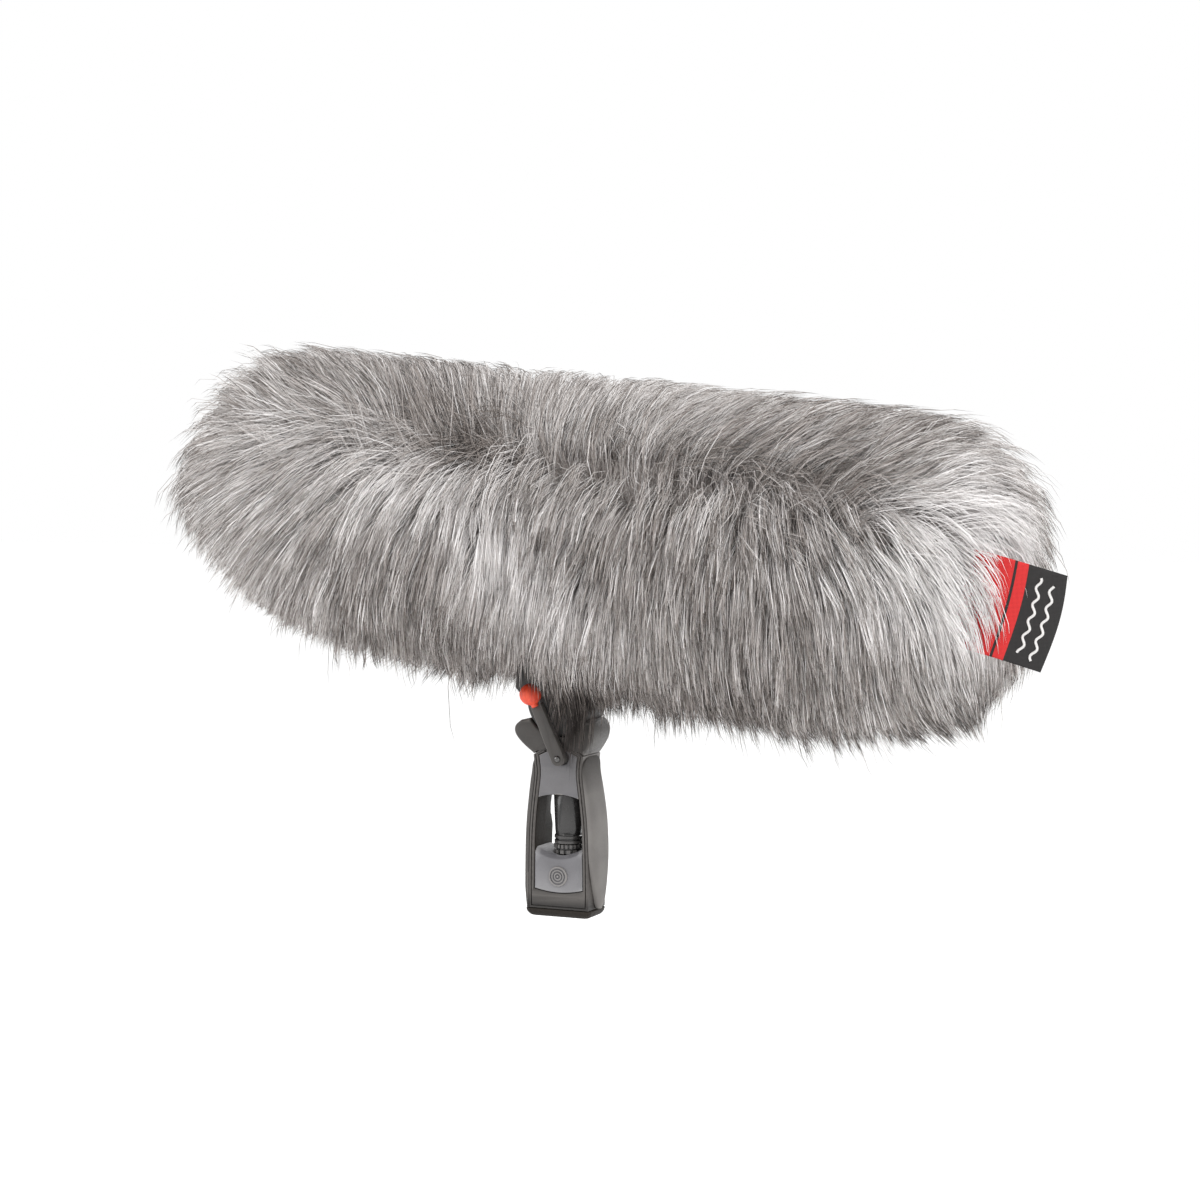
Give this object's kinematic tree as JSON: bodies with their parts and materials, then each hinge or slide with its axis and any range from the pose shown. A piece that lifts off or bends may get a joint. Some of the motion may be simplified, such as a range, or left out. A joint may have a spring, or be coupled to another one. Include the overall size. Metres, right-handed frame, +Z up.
{
  "type": "furry windscreen",
  "caption": "Long-pile furry windscreen over a mesh basket with an inner microphone suspension, on a tilting pistol grip with a clamp lever.",
  "frame": {"origin": "middle of the grip's base face, on the boom thread's axis", "axes": "+Z up the grip, +X towards the rear end of the basket, where the side label is, and -Y the lever side"},
  "size_m": [0.5621, 0.172, 0.3393],
  "materials": {
    "frame": "moulded dark grey, fine spark-eroded grain",
    "rubber": "soft grey rubber, satin",
    "cheek": "moulded mid grey, fine grain",
    "knob": "orange-red soft plastic ball",
    "steel": "bright steel",
    "brass": "turned brass",
    "connector": "gloss black",
    "plastic": "moulded black",
    "mesh": "fine grey mesh cloth",
    "fur": "long-pile synthetic fur in mixed greys",
    "tape": "woven black tape",
    "label": "woven label, black with a red band at the seam"
  },
  "bodies": {
    "grip": {"base_cap": "frame", "boom_thread_insert": "brass", "grip_frame_near": "frame", "grip_frame_far": "frame", "cheek_plate_near": "cheek", "cheek_plate_far": "cheek", "grip_screw_1": "steel", "grip_screw_2": "steel", "grip_screw_3": "steel", "grip_screw_4": "steel", "rubber_pad_front": "rubber", "rubber_pad_rear": "rubber", "connector_block": "cheek", "badge_near": "cheek", "badge_far": "cheek", "connector_barrel": "connector", "connector_collar": "connector", "connector_ring": "steel", "grip_head": "frame", "clamp_rod": "steel", "tilt_axle": "steel"},
    "clamp_lever": {"lever_arm": "frame", "lever_knob": "knob", "lever_pin": "steel", "lever_cam": "steel"},
    "basket": {"basket_neck": "plastic", "bar_riser": "plastic", "suspension_bar": "plastic", "bar_screw_front": "steel", "bar_screw_rear": "steel", "basket_cage": "plastic", "basket_mesh": "mesh", "fur_sleeve": "fur", "fur_panel_front": "fur", "fur_panel_rear": "fur", "side_label": "label", "neck_binding": "tape", "zip_tape_near": "tape", "zip_tape_far": "tape", "zip_teeth_near": "tape", "zip_teeth_far": "tape", "zip_stop": "steel"},
    "front_dome": {"front_dome_cage": "plastic", "front_dome_mesh": "mesh"},
    "rear_dome": {"rear_dome_cage": "plastic", "rear_dome_mesh": "mesh"},
    "front_suspension": {"suspension_shoe_front": "plastic", "shoe_screw_front": "steel", "lyre_front": "plastic"},
    "rear_suspension": {"suspension_shoe_rear": "plastic", "shoe_screw_rear": "steel", "lyre_rear": "plastic"},
    "front_clip": {"microphone_clip_front": "plastic"},
    "rear_clip": {"microphone_clip_rear": "plastic"},
    "zip_slider": {"zip_slider": "steel"},
    "zip_pull": {"zip_pull": "steel"}
  },
  "joints": [
    {"name": "basket_tilt", "type": "hinge", "parent": "grip", "child": "basket", "pos_m": [0, 0, 0.132], "axis": [0, 1, 0], "range_deg": [-25, 13]},
    {"name": "lever_swing", "type": "hinge", "parent": "grip", "child": "clamp_lever", "pos_m": [0.0025, 0, 0.0977], "axis": [0, -1, 0], "range_deg": [0, 75]},
    {"name": "front_dome_twist", "type": "hinge", "parent": "basket", "child": "front_dome", "pos_m": [0.01056, 0, 0.23245], "axis": [0.9945, 0, -0.1045], "range_deg": [0, 15]},
    {"name": "rear_dome_twist", "type": "hinge", "parent": "basket", "child": "rear_dome", "pos_m": [0.01056, 0, 0.23245], "axis": [0.9945, 0, -0.1045], "range_deg": [-15, 0]},
    {"name": "front_shoe_slide", "type": "slide", "parent": "basket", "child": "front_suspension", "axis": [0.9945, 0, -0.1045], "range_m": [-0.03, 0.03]},
    {"name": "rear_shoe_slide", "type": "slide", "parent": "basket", "child": "rear_suspension", "axis": [0.9945, 0, -0.1045], "range_m": [-0.03, 0.03]},
    {"name": "front_clip_float", "type": "slide", "parent": "front_suspension", "child": "front_clip", "axis": [0.1045, 0, 0.9945], "range_m": [-0.003, 0.003], "stiffness_N_per_m": 400, "deforming": ["lyre_front"]},
    {"name": "rear_clip_float", "type": "slide", "parent": "rear_suspension", "child": "rear_clip", "axis": [0.1045, 0, 0.9945], "range_m": [-0.003, 0.003], "stiffness_N_per_m": 400, "deforming": ["lyre_rear"]},
    {"name": "zip_slide", "type": "slide", "parent": "basket", "child": "zip_slider", "axis": [-0.9945, 0, 0.1045], "range_m": [0, 0.112]},
    {"name": "zip_pull_swing", "type": "hinge", "parent": "zip_slider", "child": "zip_pull", "pos_m": [0.16841, 0, 0.15583], "axis": [0, 1, 0], "range_deg": [-60, 60]}
  ]
}
